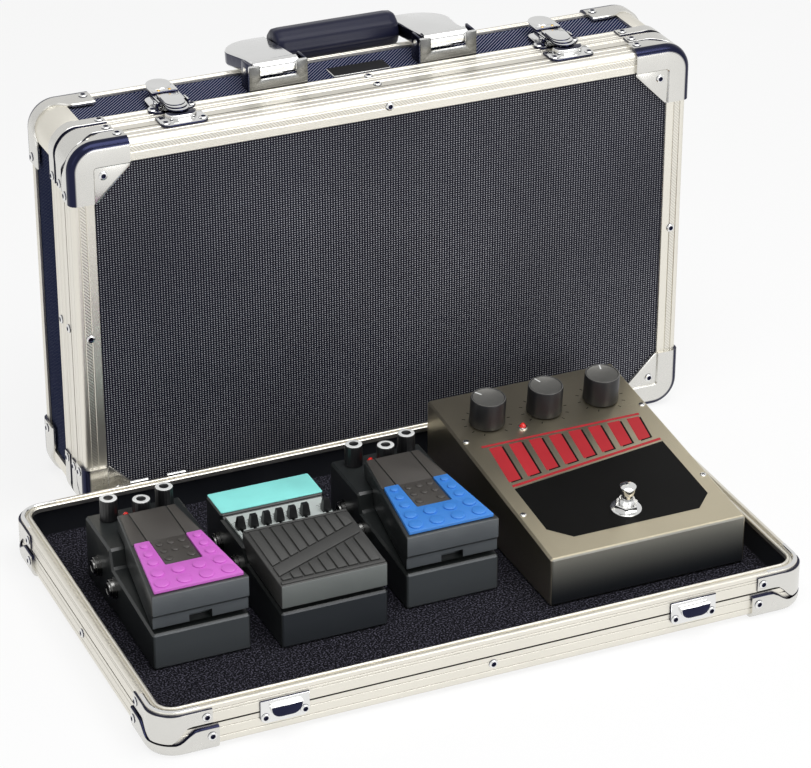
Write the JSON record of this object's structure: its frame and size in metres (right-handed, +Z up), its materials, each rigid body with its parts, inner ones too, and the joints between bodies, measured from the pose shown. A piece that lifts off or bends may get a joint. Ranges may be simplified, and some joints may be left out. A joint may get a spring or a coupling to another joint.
{
  "type": "pedalboard",
  "caption": "Shallow aluminium-edged case half used as a tray for effect pedals, with the closed carrying case, its draw latches and handle standing behind it.",
  "frame": {"origin": "on the floor, under the middle of the box around the tray and the case", "axes": "+X along the row of pedals to the player's right, +Y away from the player, +Z up"},
  "size_m": [0.5298, 0.4216, 0.3093],
  "materials": {
    "aluminium": "satin extruded aluminium",
    "chrome": "bright plated steel",
    "steel": "plain steel sheet",
    "brushed_steel": "warm brushed steel",
    "black_cover": "thin board covered with black woven-look vinyl",
    "black_fleece": "black loop fleece",
    "black_paint": "black paint on cast metal",
    "black_plastic": "moulded black",
    "grey_rubber": "dark grey ribbed",
    "magenta_rubber": "studded",
    "blue_rubber": "studded"
  },
  "bodies": {
    "tray": {"tray_frame": "aluminium", "tray_panel": "black_cover", "tray_lining": "black_fleece", "tray_keeper_left": "chrome", "tray_keeper_right": "chrome", "tray_hinge_left": "aluminium", "tray_hinge_right": "aluminium", "chorus_housing": "black_paint", "chorus_bottom_plate": "steel", "eq_housing": "black_paint", "eq_bottom_plate": "steel", "eq_control_panel": "brushed_steel", "drive_housing": "black_paint", "drive_bottom_plate": "steel", "fuzz_housing": "brushed_steel", "fuzz_bottom_plate": "steel", "fuzz_switch_bush": "chrome"},
    "cover": {"cover_frame": "aluminium", "cover_panel": "black_cover", "cover_keeper_left": "chrome", "cover_keeper_right": "chrome", "cover_hinge_left": "aluminium", "cover_hinge_right": "aluminium"},
    "shell": {"shell_box": "black_cover", "shell_rim_frame": "aluminium", "shell_back_frame": "aluminium", "latch_base_left": "chrome", "latch_base_right": "chrome", "shell_hinge_left": "aluminium", "shell_hinge_right": "aluminium", "handle_bracket_left": "chrome", "handle_bracket_right": "chrome"},
    "latch_lever_left": {"latch_lever_left": "chrome"},
    "latch_hook_left": {"latch_hook_left": "chrome"},
    "latch_lever_right": {"latch_lever_right": "chrome"},
    "latch_hook_right": {"latch_hook_right": "chrome"},
    "handle": {"handle_bail": "chrome", "handle_grip": "black_plastic"},
    "chorus_treadle": {"chorus_treadle": "black_paint", "chorus_pad": "magenta_rubber"},
    "drive_treadle": {"drive_treadle": "black_paint", "drive_pad": "blue_rubber"},
    "eq_treadle": {"eq_treadle": "grey_rubber"},
    "chorus_knob_left": {"chorus_knob_left": "black_plastic"},
    "chorus_knob_middle": {"chorus_knob_middle": "black_plastic"},
    "chorus_knob_right": {"chorus_knob_right": "black_plastic"},
    "drive_knob_left": {"drive_knob_left": "black_plastic"},
    "drive_knob_middle": {"drive_knob_middle": "black_plastic"},
    "drive_knob_right": {"drive_knob_right": "black_plastic"},
    "fuzz_knob_left": {"fuzz_knob_left": "black_plastic"},
    "fuzz_knob_middle": {"fuzz_knob_middle": "black_plastic"},
    "fuzz_knob_right": {"fuzz_knob_right": "black_plastic"},
    "eq_slider_1": {"eq_slider_1": "black_plastic"},
    "eq_slider_2": {"eq_slider_2": "black_plastic"},
    "eq_slider_3": {"eq_slider_3": "black_plastic"},
    "eq_slider_4": {"eq_slider_4": "black_plastic"},
    "eq_slider_5": {"eq_slider_5": "black_plastic"},
    "eq_slider_6": {"eq_slider_6": "black_plastic"},
    "eq_slider_level": {"eq_slider_level": "black_plastic"},
    "fuzz_switch_plunger": {"fuzz_switch_plunger": "chrome"}
  },
  "joints": [
    {"name": "case_lift", "type": "slide", "parent": "tray", "child": "cover", "axis": [0, 0, 1], "range_m": [0, 0.3]},
    {"name": "shell_off", "type": "slide", "parent": "cover", "child": "shell", "axis": [0, 1, 0], "range_m": [0, 0.1]},
    {"name": "latch_lever_left_swing", "type": "hinge", "parent": "shell", "child": "latch_lever_left", "pos_m": [-0.1185, 0.13318, 0.2954], "axis": [1, 0, 0], "range_deg": [0, 95]},
    {"name": "latch_hook_left_swing", "type": "hinge", "parent": "latch_lever_left", "child": "latch_hook_left", "pos_m": [-0.1185, 0.14018, 0.2954], "axis": [1, 0, 0], "range_deg": [-95, 0]},
    {"name": "latch_lever_right_swing", "type": "hinge", "parent": "shell", "child": "latch_lever_right", "pos_m": [0.1755, 0.13318, 0.2954], "axis": [1, 0, 0], "range_deg": [0, 95]},
    {"name": "latch_hook_right_swing", "type": "hinge", "parent": "latch_lever_right", "child": "latch_hook_right", "pos_m": [0.1755, 0.14018, 0.2954], "axis": [1, 0, 0], "range_deg": [-95, 0]},
    {"name": "handle_swing", "type": "hinge", "parent": "shell", "child": "handle", "pos_m": [0.0285, 0.14718, 0.3029], "axis": [1, 0, 0], "range_deg": [0, 103]},
    {"name": "chorus_press", "type": "hinge", "parent": "tray", "child": "chorus_treadle", "pos_m": [-0.199, -0.03012, 0.0625], "axis": [1, 0, 0], "range_deg": [0, 1.8], "stiffness_Nm_per_rad": 30, "springref_deg": -2.86},
    {"name": "drive_press", "type": "hinge", "parent": "tray", "child": "drive_treadle", "pos_m": [-0.0175, -0.02712, 0.0625], "axis": [1, 0, 0], "range_deg": [0, 1.8], "stiffness_Nm_per_rad": 30, "springref_deg": -2.86},
    {"name": "eq_press", "type": "hinge", "parent": "tray", "child": "eq_treadle", "pos_m": [-0.1085, -0.06512, 0.058], "axis": [1, 0, 0], "range_deg": [0, 2.4], "stiffness_Nm_per_rad": 20, "springref_deg": -2.86},
    {"name": "chorus_knob_left_turn", "type": "hinge", "parent": "tray", "child": "chorus_knob_left", "pos_m": [-0.219, 0.00388, 0.0568], "axis": [0, 0, 1], "range_deg": [-150, 150]},
    {"name": "chorus_knob_middle_turn", "type": "hinge", "parent": "tray", "child": "chorus_knob_middle", "pos_m": [-0.199, -0.00612, 0.0568], "axis": [0, 0, 1], "range_deg": [-150, 150]},
    {"name": "chorus_knob_right_turn", "type": "hinge", "parent": "tray", "child": "chorus_knob_right", "pos_m": [-0.179, 0.00388, 0.0568], "axis": [0, 0, 1], "range_deg": [-150, 150]},
    {"name": "drive_knob_left_turn", "type": "hinge", "parent": "tray", "child": "drive_knob_left", "pos_m": [-0.0375, 0.00688, 0.0568], "axis": [0, 0, 1], "range_deg": [-150, 150]},
    {"name": "drive_knob_middle_turn", "type": "hinge", "parent": "tray", "child": "drive_knob_middle", "pos_m": [-0.0175, -0.00312, 0.0568], "axis": [0, 0, 1], "range_deg": [-150, 150]},
    {"name": "drive_knob_right_turn", "type": "hinge", "parent": "tray", "child": "drive_knob_right", "pos_m": [0.0025, 0.00688, 0.0568], "axis": [0, 0, 1], "range_deg": [-150, 150]},
    {"name": "fuzz_knob_left_turn", "type": "hinge", "parent": "tray", "child": "fuzz_knob_left", "pos_m": [0.0675, 0.01206, 0.06472], "axis": [0, -0.1019, 0.9948], "range_deg": [-150, 150]},
    {"name": "fuzz_knob_middle_turn", "type": "hinge", "parent": "tray", "child": "fuzz_knob_middle", "pos_m": [0.1125, 0.01206, 0.06472], "axis": [0, -0.1019, 0.9948], "range_deg": [-150, 150]},
    {"name": "fuzz_knob_right_turn", "type": "hinge", "parent": "tray", "child": "fuzz_knob_right", "pos_m": [0.1575, 0.01206, 0.06472], "axis": [0, -0.1019, 0.9948], "range_deg": [-150, 150]},
    {"name": "eq_slider_1_slide", "type": "slide", "parent": "tray", "child": "eq_slider_1", "axis": [0, 1, 0], "range_m": [-0.008, 0.008]},
    {"name": "eq_slider_2_slide", "type": "slide", "parent": "tray", "child": "eq_slider_2", "axis": [0, 1, 0], "range_m": [-0.008, 0.008]},
    {"name": "eq_slider_3_slide", "type": "slide", "parent": "tray", "child": "eq_slider_3", "axis": [0, 1, 0], "range_m": [-0.008, 0.008]},
    {"name": "eq_slider_4_slide", "type": "slide", "parent": "tray", "child": "eq_slider_4", "axis": [0, 1, 0], "range_m": [-0.008, 0.008]},
    {"name": "eq_slider_5_slide", "type": "slide", "parent": "tray", "child": "eq_slider_5", "axis": [0, 1, 0], "range_m": [-0.008, 0.008]},
    {"name": "eq_slider_6_slide", "type": "slide", "parent": "tray", "child": "eq_slider_6", "axis": [0, 1, 0], "range_m": [-0.008, 0.008]},
    {"name": "eq_slider_level_slide", "type": "slide", "parent": "tray", "child": "eq_slider_level", "axis": [0, 1, 0], "range_m": [-0.008, 0.008]},
    {"name": "fuzz_switch_press", "type": "slide", "parent": "tray", "child": "fuzz_switch_plunger", "axis": [0, 0.1019, -0.9948], "range_m": [0, 0.0035], "stiffness_N_per_m": 2000, "springref_m": -0.005}
  ],
  "couplings": [
    {"joint": "latch_hook_left_swing", "follows": "latch_lever_left_swing", "ratio": -1},
    {"joint": "latch_hook_right_swing", "follows": "latch_lever_right_swing", "ratio": -1}
  ]
}
